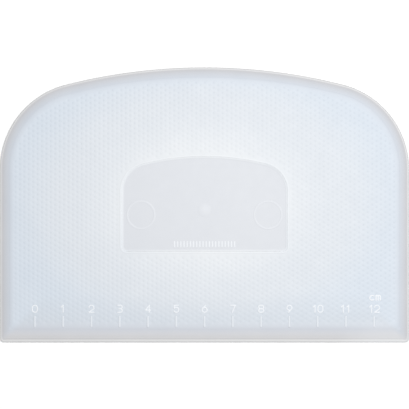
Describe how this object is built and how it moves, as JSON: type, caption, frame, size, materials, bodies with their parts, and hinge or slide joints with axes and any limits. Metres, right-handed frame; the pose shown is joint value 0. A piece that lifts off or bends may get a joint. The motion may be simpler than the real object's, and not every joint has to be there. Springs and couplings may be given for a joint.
{
  "type": "bench scraper",
  "caption": "Flexible translucent plastic dough card with a straight scraping edge, a crowned top, a textured grip field and a moulded centimetre scale.",
  "frame": {"origin": "middle of the flat back face that the card lies on", "axes": "+X along the straight edge, towards the high end of the scale; +Y from the straight edge to the crown; +Z out of the textured front face"},
  "size_m": [0.145, 0.0974, 0.0023],
  "materials": {
    "edge_plastic": "smooth translucent polypropylene, thin, greyer and clearer towards the edge",
    "field_plastic": "milky translucent polypropylene with a fine hexagonal grip texture",
    "panel_plastic": "smooth milky translucent polypropylene with a satin surface",
    "mark_plastic": "raised strokes of the same polypropylene, whiter because they catch the light"
  },
  "bodies": {
    "root": {"straight_blade": "edge_plastic", "left_side_rim": "edge_plastic", "right_side_rim": "edge_plastic", "left_shoulder_rim": "edge_plastic", "right_shoulder_rim": "edge_plastic", "crown_rim": "edge_plastic", "grip_field": "field_plastic", "centre_panel": "panel_plastic", "panel_border": "mark_plastic", "scale_ticks": "mark_plastic", "scale_numerals": "mark_plastic", "unit_mark": "mark_plastic", "gate_mark": "mark_plastic", "ejector_marks": "mark_plastic", "legend_bars": "mark_plastic"}
  },
  "joints": []
}
